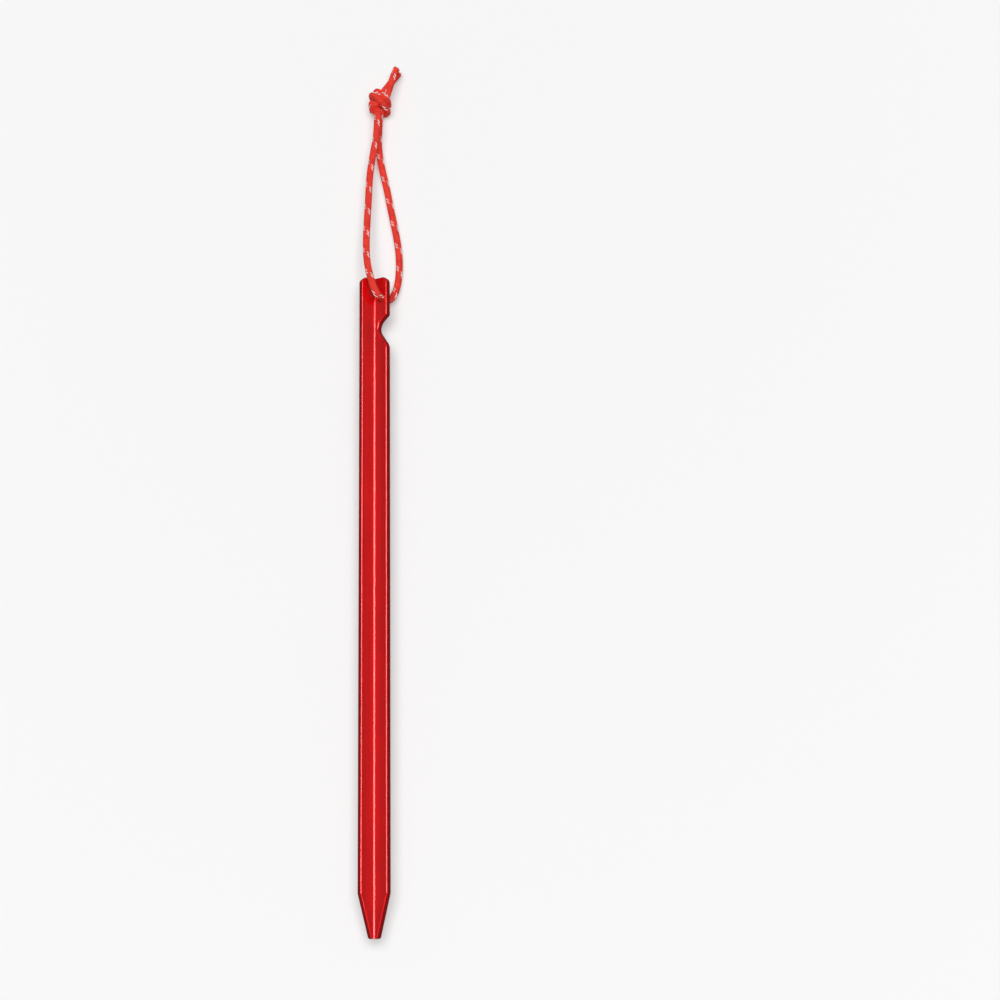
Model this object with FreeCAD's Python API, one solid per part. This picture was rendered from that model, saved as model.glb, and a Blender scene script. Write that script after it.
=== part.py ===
"""Tent stake: an extruded Y-section stake with a knotted cord pull loop.

Millimetres, +Z up. The stake lies along Y, its head at +Y and its point at -Y.
One fin points straight down and the stake rests on that fin's edge, so the
valley between the other two fins opens upwards. The origin is at the bottom
centre of the stake, without the cord.
"""

import FreeCAD, Part
import math
import os

from FreeCAD import Placement, Rotation, Vector

# Stake blank
LENGTH = 180.0
FIN_REACH = 4.5          # axis to the end of a fin
FIN_THICKNESS = 1.9
FIN_TILT = 30.0          # the right and left fins rise this much, in degrees
FIN_TURNS = (0, 120, 240)
ROOT_RADIUS = 0.8        # in the valleys between the fins
EDGE_RADIUS = 0.35       # round the outline of every fin

# Head and point
HEAD_CORNER_RADIUS = 1.6
POINT_LENGTH = 11.3      # from full section to the tip
TAPER_REACH = 1.45       # axis to the end of a fin at the tip
TIP_RADIUS = 1.35        # of the flat end, inside its bevel
TIP_BEVEL = 0.45

# Cord hole, in the right fin
HOLE_DIAMETER = 2.4
HOLE_REACH = 2.8         # axis of the stake to the hole's centre, along the fin
HOLE_BELOW_HEAD = 6.2
RIM_RADIUS = 0.2

# Line notch, in the right fin
LIP_BELOW_HEAD = 11.2    # where the upper wall meets the fin's edge
FOOT_BELOW_HEAD = 20.1   # where the lower ramp meets the fin's edge
HOOK_ANGLE = 50.0        # between the upper wall and the fin's edge, in degrees
RAMP_ANGLE = 33.0        # between the lower ramp and the fin's edge, in degrees
LIP_RADIUS = 0.5
NOTCH_RADIUS = 2.9
RAMP_RADIUS = 3.0

CUTTER_DEPTH = FIN_THICKNESS * 1.6   # thick enough to pass through one fin
CLEAR = 2.0                          # how far a cutter stands outside the stake
TINY = 0.001

# Cord
CORD_DIAMETER = 2.0
KNOT_AXIS = (1.4, 3.5)   # x and z of the knot's centre line
KNOT_START = 141.4
KNOT_LENGTH = 8.0
KNOT_RADIUS = 3.4
KNOT_END_RADIUS = 2.9
CORNER_SHARE = 0.45      # share of the shorter run that an arc takes up

AXIS_HEIGHT = FIN_REACH
HEAD_Y = LENGTH / 2
POINT_Y = -LENGTH / 2
AXIS_POINT = Vector(0, 0, AXIS_HEIGHT)
ALONG = Vector(0, 1, 0)
TILT = math.radians(FIN_TILT)
FIN_OUT = Vector(math.cos(TILT), 0, math.sin(TILT))
FIN_NORMAL = Vector(-math.sin(TILT), 0, math.cos(TILT))
HOLE_CENTRE = AXIS_POINT + FIN_OUT * HOLE_REACH + ALONG * (HEAD_Y - HOLE_BELOW_HEAD)

# Centre line of the cord from the middle of the hole out over the valley, to the knot
VALLEY_ROUTE = [
    HOLE_CENTRE,
    HOLE_CENTRE + FIN_NORMAL * 2.5,
    Vector(0.1, 85.5, 9.0),
    Vector(-1.1, 89.6, 8.2),
    Vector(-2.1, 94.6, 7.2),
    Vector(-2.4, 100.4, 6.2),
    Vector(-2.2, 107.0, 5.4),
    Vector(-1.9, 113.5, 4.8),
    Vector(-1.7, 119.4, 4.5),
    Vector(-1.2, 125.0, 4.4),
    Vector(-0.3, 130.2, 4.5),
    Vector(0.6, 135.6, 4.6),
    Vector(0.7, KNOT_START, 4.6),
]

# Centre line of the cord from the middle of the hole out under the right fin, to the knot
UNDER_ROUTE = [
    HOLE_CENTRE,
    HOLE_CENTRE - FIN_NORMAL * 2.2,
    Vector(4.8, 85.3, 2.4),
    Vector(6.0, 88.4, 1.4),
    Vector(6.6, 92.6, 1.2),
    Vector(6.7, 98.0, 1.15),
    Vector(6.1, 103.0, 1.2),
    Vector(5.2, 108.0, 1.15),
    Vector(4.1, 113.6, 1.2),
    Vector(3.1, 119.4, 1.25),
    Vector(1.8, 125.0, 1.5),
    Vector(0.9, 130.4, 1.9),
    Vector(0.8, 135.8, 2.2),
    Vector(1.2, KNOT_START, 2.4),
]

# The two free ends beyond the knot
UPPER_TAIL_ROUTE = [
    Vector(3.0, KNOT_START + KNOT_LENGTH, 4.45),
    Vector(3.0, 151.0, 4.45),
    Vector(4.5, 153.1, 4.4),
    Vector(6.1, 155.6, 4.0),
]
LOWER_TAIL_ROUTE = [
    Vector(2.9, KNOT_START + KNOT_LENGTH, 2.35),
    Vector(2.9, 151.0, 2.35),
    Vector(4.6, 153.1, 1.9),
    Vector(6.6, 155.2, 1.4),
]


def on_fin(reach, y):
    """A point in the right fin's middle plane."""
    return AXIS_POINT + FIN_OUT * reach + ALONG * y


def round_corner(before, corner, after, radius):
    """Arc of this radius, tangent to the two lines that meet at corner."""
    back = (before - corner).normalize()
    ahead = (after - corner).normalize()
    half_turn = (math.pi - back.getAngle(ahead)) / 2
    trim = radius * math.tan(half_turn)
    to_centre = (back + ahead).normalize()
    middle = corner + to_centre * (radius / math.cos(half_turn) - radius)
    return Part.Arc(corner + back * trim, middle, corner + ahead * trim)


def through_fin(outline):
    """Cutter of this outline, which passes right through the right fin."""
    cutter = Part.Face(outline).extrude(FIN_NORMAL * CUTTER_DEPTH)
    cutter.translate(FIN_NORMAL * (-CUTTER_DEPTH / 2))
    return cutter


def fin_blank(angle):
    """One fin as a plain bar from the axis outwards, turned about the stake's axis."""
    bar = Part.makeBox(FIN_REACH, LENGTH, FIN_THICKNESS, Vector(0, POINT_Y, -FIN_THICKNESS / 2))
    bar.Placement = Placement(AXIS_POINT, Rotation(-ALONG, angle)) * bar.Placement
    return bar


def y_section_bar():
    """Three equal fins that meet in round valleys."""
    bar = fin_blank(FIN_TILT)
    for turn in FIN_TURNS[1:]:
        bar = bar.fuse(fin_blank(FIN_TILT + turn))
    bar = bar.removeSplitter()
    return bar.makeFillet(ROOT_RADIUS, [edge for edge in bar.Edges if runs_along_root(edge)])


def runs_along_root(edge):
    middle = edge.CenterOfMass
    near_axis = math.hypot(middle.x, middle.z - AXIS_HEIGHT) < FIN_REACH / 2
    return near_axis and edge.Length > LENGTH / 2


def head_corner_cutter():
    """Rounds the outer corner of a fin at the head."""
    corner = on_fin(FIN_REACH, HEAD_Y)
    below = on_fin(FIN_REACH, HEAD_Y - HEAD_CORNER_RADIUS)
    inside = on_fin(FIN_REACH - HEAD_CORNER_RADIUS, HEAD_Y)
    arc = round_corner(below, corner, inside, HEAD_CORNER_RADIUS)
    above = inside + ALONG * CLEAR
    far_above = corner + (ALONG + FIN_OUT) * CLEAR
    beside = below + FIN_OUT * CLEAR
    lines = Part.makePolygon([arc.EndPoint, above, far_above, beside, arc.StartPoint])
    return through_fin(Part.Wire([arc.toShape()] + lines.Edges))


def taper_cutter():
    """Slopes a fin's end towards the axis, down to the point."""
    tip = on_fin(TAPER_REACH, POINT_Y)
    shoulder = on_fin(FIN_REACH, POINT_Y + POINT_LENGTH)
    beyond = (tip - shoulder).normalize() * CLEAR
    inner = tip + beyond
    outer = shoulder - beyond
    shift = FIN_OUT * (FIN_REACH + CLEAR)
    return through_fin(Part.makePolygon([inner, outer, outer + shift, inner + shift, inner]))


def notch_cutter():
    """Hook-shaped notch: a round bottom, a steep upper wall with a soft lip and a long lower ramp."""
    hook_slope = 1 / math.tan(math.radians(HOOK_ANGLE))
    ramp_slope = 1 / math.tan(math.radians(RAMP_ANGLE))
    depth = (FOOT_BELOW_HEAD - LIP_BELOW_HEAD) / (hook_slope + ramp_slope)
    lip = on_fin(FIN_REACH, HEAD_Y - LIP_BELOW_HEAD)
    foot = on_fin(FIN_REACH, HEAD_Y - FOOT_BELOW_HEAD)
    bottom = on_fin(FIN_REACH - depth, HEAD_Y - LIP_BELOW_HEAD - depth * hook_slope)
    lip_arc = round_corner(lip + ALONG, lip, bottom, LIP_RADIUS)
    bottom_arc = round_corner(lip, bottom, foot, NOTCH_RADIUS)
    foot_arc = round_corner(bottom, foot, foot - ALONG, RAMP_RADIUS)
    outside = FIN_OUT * CLEAR
    return through_fin(Part.Wire([
        lip_arc.toShape(),
        Part.makeLine(lip_arc.EndPoint, bottom_arc.StartPoint),
        bottom_arc.toShape(),
        Part.makeLine(bottom_arc.EndPoint, foot_arc.StartPoint),
        foot_arc.toShape(),
        Part.makeLine(foot_arc.EndPoint, foot_arc.EndPoint + outside),
        Part.makeLine(foot_arc.EndPoint + outside, lip_arc.StartPoint + outside),
        Part.makeLine(lip_arc.StartPoint + outside, lip_arc.StartPoint),
    ]))


def hole_cutter():
    start = HOLE_CENTRE - FIN_NORMAL * (CUTTER_DEPTH / 2)
    return Part.makeCylinder(HOLE_DIAMETER / 2, CUTTER_DEPTH, start, FIN_NORMAL)


def turned(shape, angle):
    """A copy of the shape, turned about the stake's axis."""
    copy = shape.copy()
    copy.rotate(AXIS_POINT, -ALONG, angle)
    return copy


def bevelled_rod():
    """Rod about the stake's axis with a bevelled flat lower end; it leaves the rest of the stake whole."""
    wide = FIN_REACH + CLEAR
    end = AXIS_POINT + ALONG * POINT_Y
    bevel = Part.makeCone(TIP_RADIUS, TIP_RADIUS + TIP_BEVEL, TIP_BEVEL, end, ALONG)
    cone_start = end + ALONG * TIP_BEVEL
    cone = Part.makeCone(TIP_RADIUS + TIP_BEVEL, wide, POINT_LENGTH, cone_start, ALONG)
    rod_start = cone_start + ALONG * POINT_LENGTH
    return bevel.fuse(cone).fuse(Part.makeCylinder(wide, LENGTH, rod_start, ALONG))


def outline_edges(bar):
    """Every edge round the fins' flat sides and the head, without the valleys and the point's end."""
    flat_sides = [face for face in bar.Faces if face.Area > LENGTH * FIN_REACH / 2]
    head = [face for face in bar.Faces if abs(face.CenterOfMass.y - HEAD_Y) < TINY]
    edges = {}
    for face in flat_sides + head:
        for edge in face.Edges:
            if abs(edge.CenterOfMass.y - POINT_Y) > TINY and not runs_along_root(edge):
                edges[edge.hashCode()] = edge
    return list(edges.values())


def is_hole_rim(edge):
    return abs(edge.Length - math.pi * HOLE_DIAMETER) < TINY


def stake():
    bar = y_section_bar()
    for turn in FIN_TURNS:
        bar = bar.cut(turned(taper_cutter(), turn)).cut(turned(head_corner_cutter(), turn))
    bar = bar.cut(notch_cutter())
    bar = bar.makeFillet(EDGE_RADIUS, outline_edges(bar))
    bar = bar.cut(hole_cutter())
    bar = bar.makeFillet(RIM_RADIUS, [edge for edge in bar.Edges if is_hole_rim(edge)])
    return bar.common(bevelled_rod())


def cord_path(name, route):
    """Straight runs joined by tangent arcs, each arc as large as its two runs allow."""
    edges = []
    start = route[0]
    radii = []
    for before, corner, after in zip(route, route[1:], route[2:]):
        turn = (corner - before).getAngle(after - corner)
        trim = CORNER_SHARE * min((before - corner).Length, (after - corner).Length)
        radii.append(trim / math.tan(turn / 2))
        arc = round_corner(before, corner, after, radii[-1])
        edges.append(Part.makeLine(start, arc.StartPoint))
        edges.append(arc.toShape())
        start = arc.EndPoint
    edges.append(Part.makeLine(start, route[-1]))
    print(name, "arc radii", [round(radius, 1) for radius in radii])
    return Part.Wire(edges)


def cord_tube(name, route):
    """Round cord swept along its route; prints its volume against section times length."""
    path = cord_path(name, route)
    direction = route[1] - route[0]
    section = Part.Wire(Part.makeCircle(CORD_DIAMETER / 2, route[0], direction))
    tube = path.makePipeShell([section], True, True)
    expected = math.pi * (CORD_DIAMETER / 2) ** 2 * path.Length
    print(name, "length", round(path.Length, 2), "volume ratio", round(tube.Volume / expected, 4))
    return tube


def knot():
    """Outer shape of the overhand knot, a barrel with flat ends that the cords meet."""
    end_y = KNOT_START + KNOT_LENGTH
    centre = Vector(KNOT_AXIS[0], 0, KNOT_AXIS[1])
    start_axis = Vector(0, KNOT_START, 0)
    start_rim = Vector(KNOT_END_RADIUS, KNOT_START, 0)
    belly = Vector(KNOT_RADIUS, KNOT_START + KNOT_LENGTH / 2, 0)
    end_rim = Vector(KNOT_END_RADIUS, end_y, 0)
    end_axis = Vector(0, end_y, 0)
    outline = Part.Wire([
        Part.makeLine(start_axis, start_rim),
        Part.Arc(start_rim, belly, end_rim).toShape(),
        Part.makeLine(end_rim, end_axis),
        Part.makeLine(end_axis, start_axis),
    ])
    solid = Part.Face(outline).revolve(Vector(0, 0, 0), ALONG, 360)
    solid.translate(centre)
    return solid


def save(name, shape):
    solids = shape.Solids
    assert shape.isValid() and len(solids) == 1, name
    solids[0].exportStep(f"parts/{name}.step")
    box = solids[0].BoundBox
    low = [round(value, 2) for value in (box.XMin, box.YMin, box.ZMin)]
    high = [round(value, 2) for value in (box.XMax, box.YMax, box.ZMax)]
    print(name, "box", low, high, "volume", round(solids[0].Volume, 2))


os.makedirs("parts", exist_ok=True)
save("stake", stake())
save("valley_cord", cord_tube("valley_cord", VALLEY_ROUTE))
save("under_cord", cord_tube("under_cord", UNDER_ROUTE))
save("loop_knot", knot())
save("upper_tail", cord_tube("upper_tail", UPPER_TAIL_ROUTE))
save("lower_tail", cord_tube("lower_tail", LOWER_TAIL_ROUTE))
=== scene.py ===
"""Looks of the tent stake: an anodised Y-section stake with a braided, knotted cord pull loop.

Everything is in the CAD model's frame. Blender's units are metres; the cord is worked out in millimetres.
"""

import math

import bmesh
import bpy
import numpy as np
from mathutils import Matrix, Vector


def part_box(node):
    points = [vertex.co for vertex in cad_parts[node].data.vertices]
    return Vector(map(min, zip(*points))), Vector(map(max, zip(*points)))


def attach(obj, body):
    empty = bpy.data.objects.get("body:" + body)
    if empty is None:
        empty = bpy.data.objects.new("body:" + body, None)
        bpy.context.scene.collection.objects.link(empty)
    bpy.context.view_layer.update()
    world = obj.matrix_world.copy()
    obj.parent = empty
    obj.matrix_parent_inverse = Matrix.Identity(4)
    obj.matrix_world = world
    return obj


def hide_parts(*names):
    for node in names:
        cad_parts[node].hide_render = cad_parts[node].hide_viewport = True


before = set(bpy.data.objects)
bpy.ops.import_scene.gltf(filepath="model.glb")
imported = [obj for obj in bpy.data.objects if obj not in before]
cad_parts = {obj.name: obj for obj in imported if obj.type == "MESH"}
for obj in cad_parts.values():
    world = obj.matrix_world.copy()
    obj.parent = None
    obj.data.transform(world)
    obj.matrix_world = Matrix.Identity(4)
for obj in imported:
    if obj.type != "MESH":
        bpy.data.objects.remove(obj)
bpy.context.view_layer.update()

MM = 0.001

# ---------------------------------------------------------------- camera, floor and light

CAMERA_PLACE = Vector((34.05, -98.8, 478.2)) * MM
CAMERA_TILT = math.radians(14.7)     # from straight down, towards the head
CAMERA_ROLL = math.radians(-1.0)
LENS = 64.8                          # on a sensor 36 mm wide
SOFTBOX_PLACE = (0.01, 0.12, 0.90)
SOFTBOX_SIZE = (0.85, 0.60)
SOFTBOX_POWER = 9.2
WORLD_STRENGTH = 0.17
STAGE = 3.0                          # from the object to the backdrop
FLOOR_DROP = 0.00005                 # keeps the floor just clear of what lies on it
GLOW_NEAR, GLOW_FAR = 0.285, 0.80    # of the floor, under the softbox and far from it
BACKDROP_GLOW = 0.90


def make_camera():
    forward = Vector((0, math.sin(CAMERA_TILT), -math.cos(CAMERA_TILT)))
    level_up = Vector((0, math.cos(CAMERA_TILT), math.sin(CAMERA_TILT)))
    level_right = Vector((1, 0, 0))
    right = level_right * math.cos(CAMERA_ROLL) + level_up * math.sin(CAMERA_ROLL)
    up = level_up * math.cos(CAMERA_ROLL) - level_right * math.sin(CAMERA_ROLL)
    data = bpy.data.cameras.new("camera")
    data.lens = LENS
    data.clip_start = 0.01
    camera = bpy.data.objects.new("camera", data)
    bpy.context.scene.collection.objects.link(camera)
    turn = Matrix((right, up, -forward)).transposed().to_4x4()
    camera.matrix_world = Matrix.Translation(CAMERA_PLACE) @ turn
    bpy.context.scene.camera = camera


def area_light(name, place, target, size, power):
    data = bpy.data.lights.new(name, "AREA")
    data.shape = "RECTANGLE"
    data.size, data.size_y = size
    data.energy = power
    light = bpy.data.objects.new(name, data)
    bpy.context.scene.collection.objects.link(light)
    light.location = place
    light.rotation_euler = (Vector(target) - Vector(place)).to_track_quat("-Z", "Y").to_euler()


def make_world(strength):
    """Even studio light from above the floor, and less from below it."""
    world = bpy.data.worlds.new("studio")
    bpy.context.scene.world = world
    world.use_nodes = True
    tree = world.node_tree
    background = tree.nodes["Background"]
    direction = tree.nodes.new("ShaderNodeTexCoord")
    split = tree.nodes.new("ShaderNodeSeparateXYZ")
    ramp = tree.nodes.new("ShaderNodeValToRGB")
    tree.links.new(direction.outputs["Generated"], split.inputs["Vector"])
    tree.links.new(split.outputs["Z"], ramp.inputs["Fac"])
    tree.links.new(ramp.outputs["Color"], background.inputs["Color"])
    low, high = ramp.color_ramp.elements
    low.position, low.color = 0.0, (0.40, 0.39, 0.39, 1)
    high.position, high.color = 0.3, (1.0, 0.995, 0.99, 1)
    background.inputs["Strength"].default_value = strength


def make_floor():
    """Pale paper, lit from below too, so that shadows stay faint.

    It glows more where the softbox reaches it less, so that it looks even.
    """
    mesh = bpy.data.meshes.new("floor")
    corners = [(-STAGE, -STAGE, 0), (STAGE, -STAGE, 0), (STAGE, STAGE, 0), (-STAGE, STAGE, 0)]
    mesh.from_pydata(corners, [], [(0, 1, 2, 3)])
    floor = bpy.data.objects.new("floor", mesh)
    bpy.context.scene.collection.objects.link(floor)
    floor.location.z = -FLOOR_DROP
    n = Nodes("floor_paper")
    place = n.node("ShaderNodeTexCoord").outputs["Object"]
    under_softbox = (SOFTBOX_PLACE[0], SOFTBOX_PLACE[1], 0)
    measure = n.node("ShaderNodeVectorMath", {0: place, 1: under_softbox}, operation="DISTANCE")
    reach = measure.outputs["Value"]
    height_squared = SOFTBOX_PLACE[2] ** 2
    slant_squared = n.math("ADD", n.math("MULTIPLY", reach, reach), height_squared)
    cosine_squared = n.math("DIVIDE", height_squared, slant_squared)
    softbox_light = n.math("MULTIPLY", cosine_squared, cosine_squared)
    n.set(Base_Color=(0.58, 0.58, 0.58, 1), Roughness=0.9, Specular_IOR_Level=0.1)
    n.set(Emission_Color=(1, 1, 1, 1), Emission_Strength=n.spread(softbox_light, GLOW_FAR, GLOW_NEAR))
    mesh.materials.append(n.material)
    floor.visible_glossy = False         # the stake's sides mirror the darker studio below it instead


def make_backdrop():
    """Plain pale surround behind the floor, which only the camera sees; it gives no light."""
    shape = bmesh.new()
    bmesh.ops.create_uvsphere(shape, u_segments=48, v_segments=24, radius=STAGE)
    mesh = bpy.data.meshes.new("backdrop")
    shape.to_mesh(mesh)
    shape.free()
    backdrop = bpy.data.objects.new("backdrop", mesh)
    bpy.context.scene.collection.objects.link(backdrop)
    n = Nodes("backdrop_paper")
    n.set(Base_Color=(0, 0, 0, 1), Specular_IOR_Level=0.0)
    n.set(Emission_Color=(1, 1, 1, 1), Emission_Strength=BACKDROP_GLOW)
    mesh.materials.append(n.material)
    backdrop.visible_diffuse = False
    backdrop.visible_glossy = False
    backdrop.visible_transmission = False
    backdrop.visible_volume_scatter = False
    backdrop.visible_shadow = False


# ---------------------------------------------------------------- materials

class Nodes:
    """Short-hand for building one node material."""

    def __init__(self, name):
        self.material = bpy.data.materials.new(name)
        self.material.use_nodes = True
        self.tree = self.material.node_tree
        self.shader = self.tree.nodes["Principled BSDF"]

    def node(self, kind, inputs=None, **settings):
        node = self.tree.nodes.new(kind)
        for key, value in settings.items():
            setattr(node, key, value)
        for key, value in (inputs or {}).items():
            self.feed(node.inputs[key], value)
        return node

    def feed(self, socket, value):
        if isinstance(value, bpy.types.NodeSocket):
            self.tree.links.new(value, socket)
        else:
            socket.default_value = value

    def set(self, **inputs):
        for key, value in inputs.items():
            self.feed(self.shader.inputs[key.replace("_", " ")], value)

    def stretched_noise(self, source, scale, detail=4.0, roughness=0.6):
        mapping = self.node("ShaderNodeMapping", {"Vector": source, "Scale": scale})
        noise = self.node("ShaderNodeTexNoise", {"Vector": mapping.outputs["Vector"], "Scale": 1.0,
                                                 "Detail": detail, "Roughness": roughness})
        return noise.outputs["Fac"]

    def ramp(self, value, stops):
        ramp = self.node("ShaderNodeValToRGB", {"Fac": value})
        elements = ramp.color_ramp.elements
        while len(elements) < len(stops):
            elements.new(0.5)
        for element, (position, colour) in zip(elements, stops):
            element.position = position
            element.color = (*colour, 1)
        return ramp.outputs["Color"]

    def spread(self, value, low, high):
        """Maps 0..1 to low..high."""
        inputs = {"Value": value, "To Min": low, "To Max": high}
        return self.node("ShaderNodeMapRange", inputs).outputs["Result"]

    def math(self, operation, first, second):
        return self.node("ShaderNodeMath", {0: first, 1: second}, operation=operation).outputs[0]

    def bump(self, height, strength, distance, normal=None):
        inputs = {"Height": height, "Strength": strength, "Distance": distance}
        if normal:
            inputs["Normal"] = normal
        return self.node("ShaderNodeBump", inputs).outputs["Normal"]


def anodised_aluminium():
    """Deep red dye under a clear anodic skin, with the extrusion's die lines and a fine etched grain."""
    n = Nodes("anodised_red")
    place = n.node("ShaderNodeTexCoord").outputs["Object"]
    die_lines = n.stretched_noise(place, (3200, 9, 3200), 3.0)
    broad_lines = n.stretched_noise(place, (900, 5, 900), 2.0)
    grain = n.stretched_noise(place, (9000, 9000, 9000), 2.0, 0.7)
    cloud = n.stretched_noise(place, (160, 60, 160), 3.0)
    streaks = n.math("ADD", n.math("MULTIPLY", broad_lines, 0.35), n.math("MULTIPLY", die_lines, 0.3))
    tone = n.ramp(n.math("ADD", n.math("MULTIPLY", cloud, 0.35), streaks),
                  [(0.3, (0.70, 0.003, 0.004)), (0.7, (1.0, 0.007, 0.009))])
    n.set(Base_Color=tone, Metallic=0.85)
    rough = n.math("ADD", n.spread(die_lines, -0.10, 0.10), n.spread(grain, 0.38, 0.56))
    n.set(Roughness=rough)
    n.set(Coat_Weight=0.85, Coat_Roughness=0.09, Coat_IOR=1.65, Specular_IOR_Level=0.1)
    lines_bump = n.bump(die_lines, 0.30, 0.00002)
    n.set(Normal=n.bump(grain, 0.30, 0.00001, lines_bump))
    return n.material


def yarn_material(name, dark, light, sheen, rough):
    """Filament yarn, unevenly dyed: u goes round it and v along it, in millimetres, as its filaments do."""
    n = Nodes(name)
    texture_coords = n.node("ShaderNodeTexCoord")
    place = texture_coords.outputs["Object"]
    along_yarn = texture_coords.outputs["UV"]
    filaments = n.stretched_noise(along_yarn, (26, 0.7, 1), 3.0, 0.7)
    patches = n.stretched_noise(place, (700, 700, 700), 3.0)
    tone = n.ramp(n.math("ADD", n.math("MULTIPLY", filaments, 0.65), n.math("MULTIPLY", patches, 0.35)),
                  [(0.36, dark), (0.62, light)])
    n.set(Base_Color=tone, Roughness=rough)
    n.set(Sheen_Weight=sheen, Sheen_Roughness=0.4)
    n.set(Normal=n.bump(filaments, 0.8, 0.00004))
    return n.material


# ---------------------------------------------------------------- cord routes

KNOT_LOW = Vector(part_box("loop_knot")[0]) / MM
KNOT_HIGH = Vector(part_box("loop_knot")[1]) / MM
HOLE_CENTRE = Vector((2.425, 83.8, 5.9))
FIN_NORMAL = Vector((-0.5, 0, 0.866))
KNOT_START = 141.4

VALLEY_ROUTE = [
    HOLE_CENTRE,
    HOLE_CENTRE + FIN_NORMAL * 2.5,
    Vector((0.1, 85.5, 9.0)),
    Vector((-1.1, 89.6, 8.2)),
    Vector((-2.1, 94.6, 7.2)),
    Vector((-2.4, 100.4, 6.2)),
    Vector((-2.2, 107.0, 5.4)),
    Vector((-1.9, 113.5, 4.8)),
    Vector((-1.7, 119.4, 4.5)),
    Vector((-1.2, 125.0, 4.4)),
    Vector((-0.3, 130.2, 4.5)),
    Vector((0.6, 135.6, 4.6)),
    Vector((0.7, KNOT_START, 4.6)),
]
UNDER_ROUTE = [
    HOLE_CENTRE,
    HOLE_CENTRE - FIN_NORMAL * 2.2,
    Vector((4.8, 85.3, 2.4)),
    Vector((6.0, 88.4, 1.4)),
    Vector((6.6, 92.6, 1.2)),
    Vector((6.7, 98.0, 1.15)),
    Vector((6.1, 103.0, 1.2)),
    Vector((5.2, 108.0, 1.15)),
    Vector((4.1, 113.6, 1.2)),
    Vector((3.1, 119.4, 1.25)),
    Vector((1.8, 125.0, 1.5)),
    Vector((0.9, 130.4, 1.9)),
    Vector((0.8, 135.8, 2.2)),
    Vector((1.2, KNOT_START, 2.4)),
]


def spline_points(name, route):
    """Points along the smooth NURBS line that has the route as its control points, in millimetres."""
    data = bpy.data.curves.new(name, "CURVE")
    data.dimensions = "3D"
    data.resolution_u = 24
    spline = data.splines.new("NURBS")
    spline.points.add(len(route) - 1)
    for point, place in zip(spline.points, route):
        point.co = (*(place * MM), 1)
    spline.order_u = 3
    spline.use_endpoint_u = True
    guide = bpy.data.objects.new(name, data)
    mesh = bpy.data.meshes.new_from_object(guide)
    points = np.array([vertex.co for vertex in mesh.vertices]) / MM
    bpy.data.meshes.remove(mesh)
    bpy.data.objects.remove(guide)
    bpy.data.curves.remove(data)
    return points


def even_steps(points, step):
    """The same line with points at even spacing."""
    lengths = np.linalg.norm(np.diff(points, axis=0), axis=1)
    distance = np.concatenate([[0], np.cumsum(lengths)])
    wanted = np.linspace(0, distance[-1], int(distance[-1] / step) + 1)
    return np.stack([np.interp(wanted, distance, points[:, axis]) for axis in range(3)], 1)


def smooth(points, rounds):
    points = points.copy()
    for _ in range(rounds):
        points[1:-1] = points[1:-1] * 0.5 + (points[:-2] + points[2:]) * 0.25
    return points


# ---------------------------------------------------------------- the knot

KNOT_CENTRE = np.array((KNOT_LOW + KNOT_HIGH) / 2)
STEP = 0.14                 # between points of the cord's centre line
SQUEEZED_CORD = 1.65        # centre to centre in the tight knot
KNOT_STEP = 0.5             # between points while the knot is tied
KNOT_ROUNDS = 40            # of finding which points are close to each other
DRAWS_PER_ROUND = 12        # of drawing the knot tight and pushing its cords apart
DRAWN_PER_DRAW = 0.9998     # share of its length that the cord keeps
STRAIGHTENING = 0.25        # how far a point moves towards the middle of its neighbours
CLOSE_ENOUGH = 0.6          # clearance within which cords are watched
HELD_LENGTH = 4.0           # of each cord, below the knot, that stays where it is
HELD_TAIL_POINTS = 2
SKIPPED_TURN = 1.6          # cord diameters along one cord that don't count as touching
UP = np.array([0, 0, 1.0])

# The doubled cord's middle line through the overhand knot, measured from the knot's centre, and the
# direction from it to the first of the two cords.
KNOT_ROUTE = [
    ((-0.1, -2.6, -0.4), (-0.9, 0, 0.4)),       # up inside the knot, at the back
    ((-0.2, -0.6, -0.8), (-1, 0, 0)),
    ((-0.4, 1.2, -0.8), (-1, 0.2, 0)),
    ((-0.9, 2.5, -0.4), (-1, 0.1, -0.3)),       # over the top
    ((-1.6, 2.9, 0.9), (-0.85, -0.2, -0.5)),
    ((-1.4, 1.9, 2.1), (-0.7, -0.65, -0.2)),    # slanting down across the front
    ((0.1, 0.3, 2.5), (-0.62, -0.78, 0)),
    ((1.7, -1.0, 1.8), (-0.4, -0.9, 0)),
    ((2.5, -1.7, 0), (0, -1, 0)),               # round the back
    ((1.7, -1.9, -1.8), (0, -1, 0)),
    ((0, -1.9, -2.5), (0, -1, 0)),
    ((-1.8, -1.8, -1.8), (0, -1, 0)),
    ((-2.5, -1.8, 0), (0.1, -1, 0)),
    ((-1.9, -1.6, 1.4), (0.4, -0.85, 0)),       # and up under the slanting turn
    ((-0.6, -0.8, 0.9), (0.65, -0.75, 0)),
    ((0.5, 0.7, 0.85), (0.8, -0.6, 0)),
    ((1.3, 2.4, 0.6), (0.85, -0.4, 0.4)),
    ((1.9, 4.3, 0.1), (0.25, -0.2, 0.93)),
]
TAIL_ROUTES = [
    ((6.1, 155.6, 4.0), (4.6, 152.9, 4.4)),
    ((6.6, 155.2, 1.7), (4.7, 152.7, 2.4)),
]


def unit(vectors):
    return vectors / np.linalg.norm(vectors, axis=-1, keepdims=True)


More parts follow.
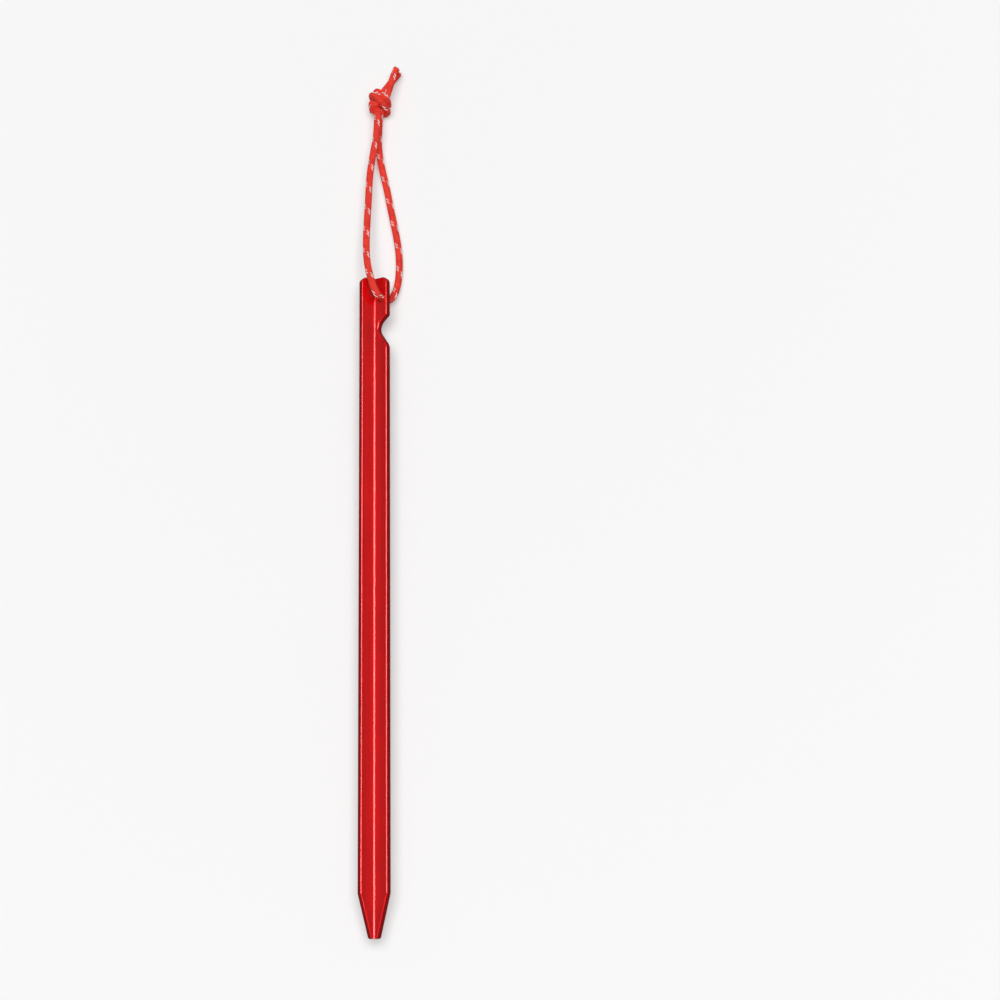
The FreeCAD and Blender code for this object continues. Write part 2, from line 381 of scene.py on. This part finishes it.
def through(points, pieces=12):
    """A smooth line through the points (Catmull-Rom)."""
    points = np.array(points, float)
    padded = np.concatenate([[2 * points[0] - points[1]], points, [2 * points[-1] - points[-2]]])
    t = np.linspace(0, 1, pieces, endpoint=False)[:, None]
    line = []
    for p, q, r, s in zip(padded, padded[1:], padded[2:], padded[3:]):
        line.append(q + 0.5 * t * (r - p + t * (2 * p - 5 * q + 4 * r - s + t * (3 * (q - r) + s - p))))
    return np.concatenate([*line, points[-1:]])


def knot_strand(cord, side, tail):
    """One cord from inside its CAD line's end, through the knot and out to its tail's end."""
    points = [cord[-1 - round(reach / STEP)] for reach in (4, 2.6, 1.3)] + [cord[-1]]
    for middle, across in KNOT_ROUTE:
        points.append(KNOT_CENTRE + middle + unit(np.array(across)) * side * SQUEEZED_CORD / 2)
    points += [np.array(point) for point in tail[::-1]]
    return even_steps(through(points), KNOT_STEP)


def tie_knot(cords):
    """Both cords of the knot, pushed apart and drawn tight until they no longer cut into each other."""
    lines = [knot_strand(cord, side, tail) for cord, side, tail in zip(cords, (1, -1), TAIL_ROUTES)]
    counts = [len(line) for line in lines]
    place = np.concatenate(lines)
    total, second = len(place), counts[0]
    cord_of = np.repeat([0, 1], counts)
    free = np.ones(total)
    held = round(HELD_LENGTH / KNOT_STEP)
    for start, stop in ((0, second), (second, total)):
        free[start:start + held] = 0
        free[stop - HELD_TAIL_POINTS:stop] = 0
    links = np.array([i for i in range(total - 1) if i != second - 1])
    middles = np.array([i for i in range(1, total - 1) if i not in (second - 1, second)])
    rest = np.full(len(links), KNOT_STEP)
    one, two = np.triu_indices(total, 1)
    near = (cord_of[one] == cord_of[two]) & (two - one < SKIPPED_TURN * SQUEEZED_CORD / KNOT_STEP)
    one, two = one[~near], two[~near]
    for _ in range(KNOT_ROUNDS):
        close = np.linalg.norm(place[one] - place[two], axis=1) < SQUEEZED_CORD + CLOSE_ENOUGH
        a, b = one[close], two[close]
        for _ in range(DRAWS_PER_ROUND):
            rest *= DRAWN_PER_DRAW
            hold_length(place, free, links, rest)
            pull = (place[middles - 1] + place[middles + 1]) / 2 - place[middles]
            place[middles] += pull * free[middles, None] * STRAIGHTENING
            push_apart(place, free, a, b)
    return [place[:second], place[second:]]


def hold_length(place, free, links, rest):
    """Moves linked points until each pair is its rest length apart, every other pair at a time."""
    for parity in (0, 1):
        a = links[parity::2]
        b = a + 1
        gap = place[b] - place[a]
        length = np.linalg.norm(gap, axis=1)
        share = (length - rest[parity::2]) / length / np.maximum(free[a] + free[b], 1e-9)
        place[a] += gap * (share * free[a])[:, None]
        place[b] -= gap * (share * free[b])[:, None]


def push_apart(place, free, a, b):
    """Moves pairs of points that are nearer than a squeezed cord's thickness away from each other."""
    gap = place[a] - place[b]
    length = np.linalg.norm(gap, axis=1)
    hit = length < SQUEEZED_CORD
    move = gap[hit] * ((SQUEEZED_CORD - length[hit]) / np.maximum(length[hit], 1e-6) * 0.5)[:, None]
    change = np.zeros_like(place)
    count = np.zeros(len(place))
    for ends, sign in ((a[hit], 1), (b[hit], -1)):
        np.add.at(change, ends, move * sign)
        np.add.at(count, ends, 1)
    place += change * (free / np.maximum(count, 1))[:, None]


# ---------------------------------------------------------------- the braided cord

BRAID_LEAD = 7.0            # one turn of a yarn round the cord
YARNS_EACH_WAY = 8
BRAID_RADIUS = 0.83         # to the middle of the yarns
WEAVE_DEPTH = 0.08          # half of how far a yarn goes over and under
YARN_HALF_WIDTH = 0.27
TRACER_WIDTH = 0.46         # as a share of the others' width
YARN_HALF_THICKNESS = 0.10
CORE_RADIUS = 0.74
TRACERS = ((-1, 0), (-1, 1))  # (direction, number) of the reflective yarns
RING = 8                    # points round a yarn
CORE_RING = 12
FIBRE_RING = 5

JOIN_LENGTH = 2.0           # over which the knot's line comes back onto the loop's
SEARCH_LENGTH = 14.0        # of the knot's line, which holds its nearest point to the loop's end
KNOT_SMOOTHING = 12         # rounds
CORD_SMOOTHING = 8
TAIL_CLEARANCE = 0.3        # from the knot's solid to where a tail starts


def whole_cord():
    """The one cord's centre line, from the upper tail's end through the knot, round the loop and back.

    It comes with the first and last point of each named stretch.
    """
    valley = even_steps(spline_points("valley_guide", VALLEY_ROUTE), STEP)
    under = even_steps(spline_points("under_guide", UNDER_ROUTE), STEP)
    knots = []
    for line, cord in zip(tie_knot((valley, under)), (valley, under)):
        line = smooth(even_steps(through(line, 6), STEP), KNOT_SMOOTHING)
        search = line[:round(SEARCH_LENGTH / STEP)]
        line = line[np.argmin(np.linalg.norm(search - cord[-1], axis=1)):]
        fade = np.clip(1 - np.arange(len(line)) * STEP / JOIN_LENGTH, 0, 1)
        knots.append(line + (cord[-1] - line[0]) * (fade * fade * (3 - 2 * fade))[:, None])
    upper_line, lower_line = knots
    parts = [upper_line[::-1], valley[::-1][1:], under[1:], lower_line[1:]]
    centre = smooth(np.concatenate(parts), CORD_SMOOTHING)
    marks = np.cumsum([0] + [len(part) for part in parts])
    knot_reach = KNOT_HIGH.y + TAIL_CLEARANCE
    upper_tail = np.argmax(upper_line[::-1][:, 1] < knot_reach)
    lower_tail = marks[3] + len(lower_line) - 1 - np.argmax(lower_line[::-1][:, 1] < knot_reach)
    stretches = {
        "upper_tail": (0, upper_tail),
        "knot_a": (upper_tail, marks[1]),
        "valley_cord": (marks[1], marks[2]),
        "under_cord": (marks[2], marks[3]),
        "knot_b": (marks[3], lower_tail),
        "lower_tail": (lower_tail, marks[4] - 1),
    }
    return centre, stretches


def frames_along(points):
    """Tangent and two cross directions at each point, turning as little as they can."""
    tangents = unit(np.gradient(points, axis=0))
    side = unit(np.cross(tangents[0], UP + 0.01))
    sides = np.empty_like(points)
    for i, tangent in enumerate(tangents):
        side = side - tangent * side.dot(tangent)
        side = side / np.linalg.norm(side)
        sides[i] = side
    return tangents, sides, np.cross(tangents, sides)


class Cord:
    def __init__(self):
        self.centre, self.stretches = whole_cord()
        self.tangents, self.sides, self.ups = frames_along(self.centre)
        steps = np.linalg.norm(np.diff(self.centre, axis=0), axis=1)
        self.distance = np.concatenate([[0], np.cumsum(steps)])

    def yarn_line(self, direction, number, start, stop):
        """Centre line of one yarn and its outward directions between two points of the cord."""
        part = slice(start, stop + 1)
        along = self.distance[part]
        angle = direction * (2 * math.pi * along / BRAID_LEAD) + 2 * math.pi * number / YARNS_EACH_WAY
        crossing = 2 * YARNS_EACH_WAY * along / BRAID_LEAD
        phase = crossing + 2 * number - 0.5 if direction > 0 else crossing - 2 * number + 0.5
        radius = BRAID_RADIUS + direction * WEAVE_DEPTH * np.cos(math.pi / 2 * phase)
        outward = (self.sides[part] * np.cos(angle)[:, None] + self.ups[part] * np.sin(angle)[:, None])
        return self.centre[part] + outward * radius[:, None], outward, along


def ring_offsets():
    """Section of a yarn: a flattened round, (across, outward) pairs."""
    angles = np.arange(RING) * 2 * math.pi / RING
    across = np.sign(np.cos(angles)) * np.abs(np.cos(angles)) ** 0.8 * YARN_HALF_WIDTH
    outward = np.sign(np.sin(angles)) * np.abs(np.sin(angles)) ** 0.9 * YARN_HALF_THICKNESS
    return across, outward


class Tubes:
    """Collects tubes as one mesh, in millimetres."""

    def __init__(self):
        self.vertices, self.faces, self.uvs, self.kinds = [], [], [], []
        self.count = 0

    def tube(self, rings, along, kind=0):
        """rings has the shape (rings, points round, 3)."""
        length, around = rings.shape[:2]
        base = self.count
        self.vertices.append(rings.reshape(-1, 3))
        self.count += length * around
        for i in range(length - 1):
            for j in range(around):
                k = (j + 1) % around
                low, high = base + i * around, base + (i + 1) * around
                self.faces.append((low + j, low + k, high + k, high + j))
                left, right = j / around, (j + 1) / around
                near, far = along[i], along[i + 1]
                self.uvs.extend([(left, near), (right, near), (right, far), (left, far)])
                self.kinds.append(kind)
        for ring, order in ((base, -1), (base + (length - 1) * around, 1)):
            self.faces.append(tuple(ring + j for j in range(around))[::order])
            self.uvs.extend([(0.5, 0)] * around)
            self.kinds.append(kind)

    def build(self, name, materials):
        mesh = bpy.data.meshes.new(name)
        mesh.from_pydata(np.concatenate(self.vertices) * MM, [], self.faces)
        layer = mesh.uv_layers.new(name="UVMap")
        layer.data.foreach_set("uv", np.array(self.uvs, np.float32).ravel())
        for material in materials:
            mesh.materials.append(material)
        mesh.polygons.foreach_set("material_index", self.kinds)
        mesh.polygons.foreach_set("use_smooth", [True] * len(mesh.polygons))
        mesh.update()
        piece = bpy.data.objects.new(name, mesh)
        bpy.context.scene.collection.objects.link(piece)
        return piece


def add_yarn(tubes, line, outward, along, width=1.0):
    across, lift = ring_offsets()
    tangents = unit(np.gradient(line, axis=0))
    side = unit(np.cross(tangents, outward))
    top = np.cross(side, tangents)
    rings = (line[:, None] + side[:, None] * (across * width)[None, :, None]
             + top[:, None] * lift[None, :, None])
    tubes.tube(rings, along)


# The core tube's dark red is painted shade: it stands for the shadow deep inside the braid, between its
# yarns.
def add_core(tubes, cord, start, stop):
    part = slice(start, stop + 1)
    angles = np.arange(CORE_RING) * 2 * math.pi / CORE_RING
    rings = (cord.centre[part][:, None]
             + cord.sides[part][:, None] * (np.cos(angles) * CORE_RADIUS)[None, :, None]
             + cord.ups[part][:, None] * (np.sin(angles) * CORE_RADIUS)[None, :, None])
    tubes.tube(rings, cord.distance[part], kind=1)


def braid(cord, name, stretches, materials):
    """The red yarns with the core, and the reflective yarns, that stand for the CAD node of this name."""
    red, tracer = Tubes(), Tubes()
    for start, stop in stretches:
        add_core(red, cord, start, stop)
        for direction in (1, -1):
            for number in range(YARNS_EACH_WAY):
                line, outward, along = cord.yarn_line(direction, number, start, stop)
                if (direction, number) in TRACERS:
                    add_yarn(tracer, line, outward, along, TRACER_WIDTH)
                else:
                    add_yarn(red, line, outward, along)
    body = red.build(name + "_braid", [materials["cord"], materials["core"]])
    lines = tracer.build(name + "_tracer", [materials["tracer"]])
    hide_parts(name)
    for piece in (body, lines):
        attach(piece, "pull_loop")
    return body, lines


def frayed_end(tubes, cord, end, way, chance, count):
    """Loose filaments that stand out of a cut end; way is 1 where the cord points out of it, else -1."""
    centre, outward = cord.centre[end], cord.tangents[end] * way
    side, up = cord.sides[end], cord.ups[end]
    angles = np.arange(FIBRE_RING) * 2 * math.pi / FIBRE_RING
    share = np.linspace(0, 1, 9)[:, None]
    for _ in range(count):
        turn, reach = chance.uniform(0, 2 * math.pi), chance.uniform(0.1, 0.85)
        spread = side * math.cos(turn) + up * math.sin(turn)
        lean = outward + spread * chance.uniform(0.0, 0.35) + chance.normal(0, 0.12, 3)
        curl = np.cross(outward, spread) * chance.uniform(-0.45, 0.45) + spread * chance.uniform(-0.1, 0.25)
        length = chance.uniform(0.6, 1.25)
        line = centre + spread * reach - outward * 0.7 + lean * length * share + curl * share**2
        tangents = unit(np.gradient(line, axis=0))
        across = unit(np.cross(tangents, spread + 0.01))
        above = np.cross(tangents, across)
        thick = (0.055 - 0.03 * share) * chance.uniform(0.7, 1.3)
        rings = (line[:, None] + across[:, None] * (np.cos(angles)[None] * thick)[:, :, None]
                 + above[:, None] * (np.sin(angles)[None] * thick)[:, :, None])
        tubes.tube(rings, share[:, 0] * length)


def add_fibres(cord, name, count, material, seed):
    chance = np.random.default_rng(seed)
    tubes = Tubes()
    for end, way in ((0, -1), (-1, 1)):
        frayed_end(tubes, cord, end, way, chance, count)
    piece = tubes.build(name, [material])
    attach(piece, "pull_loop")
    return piece


# ---------------------------------------------------------------- making it all

make_camera()
make_world(WORLD_STRENGTH)
make_floor()
make_backdrop()
area_light("softbox", SOFTBOX_PLACE, (0, 0, 0), SOFTBOX_SIZE, SOFTBOX_POWER)

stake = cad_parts["stake"]
stake.data.materials.clear()
stake.data.materials.append(anodised_aluminium())

materials = {
    "cord": yarn_material("cord_red", (0.54, 0.010, 0.004), (0.95, 0.040, 0.015), 0.05, 0.66),
    # The core's two dark reds are painted shade, for the shadow inside the braid between the yarns.
    "core": yarn_material("cord_core_painted_shade", (0.16, 0.004, 0.003), (0.30, 0.008, 0.006), 0.0, 0.9),
    "tracer": yarn_material("tracer_yarn", (0.62, 0.59, 0.57), (0.94, 0.92, 0.91), 0.1, 0.4),
    "fibre": yarn_material("loose_fibre", (0.34, 0.30, 0.29), (0.72, 0.68, 0.66), 0.1, 0.6),
}
cord = Cord()
parts = cord.stretches
valley, valley_tracer = braid(cord, "valley_cord", [parts["valley_cord"]], materials)
under, under_tracer = braid(cord, "under_cord", [parts["under_cord"]], materials)
knot, knot_tracer = braid(cord, "loop_knot", [parts["knot_a"], parts["knot_b"]], materials)
upper, upper_tracer = braid(cord, "upper_tail", [parts["upper_tail"]], materials)
lower, lower_tracer = braid(cord, "lower_tail", [parts["lower_tail"]], materials)
red_ends = add_fibres(cord, "red_fibres", 46, materials["cord"], 3)
pale_ends = add_fibres(cord, "pale_fibres", 22, materials["fibre"], 8)


def declare(stretch, backwards):
    start, stop = parts[stretch]
    line = cord.centre[start:stop + 1]
    line = line[::-1] if backwards else line


declare("valley_cord", True)
declare("under_cord", False)

bpy.context.scene.view_settings.view_transform = "Standard"
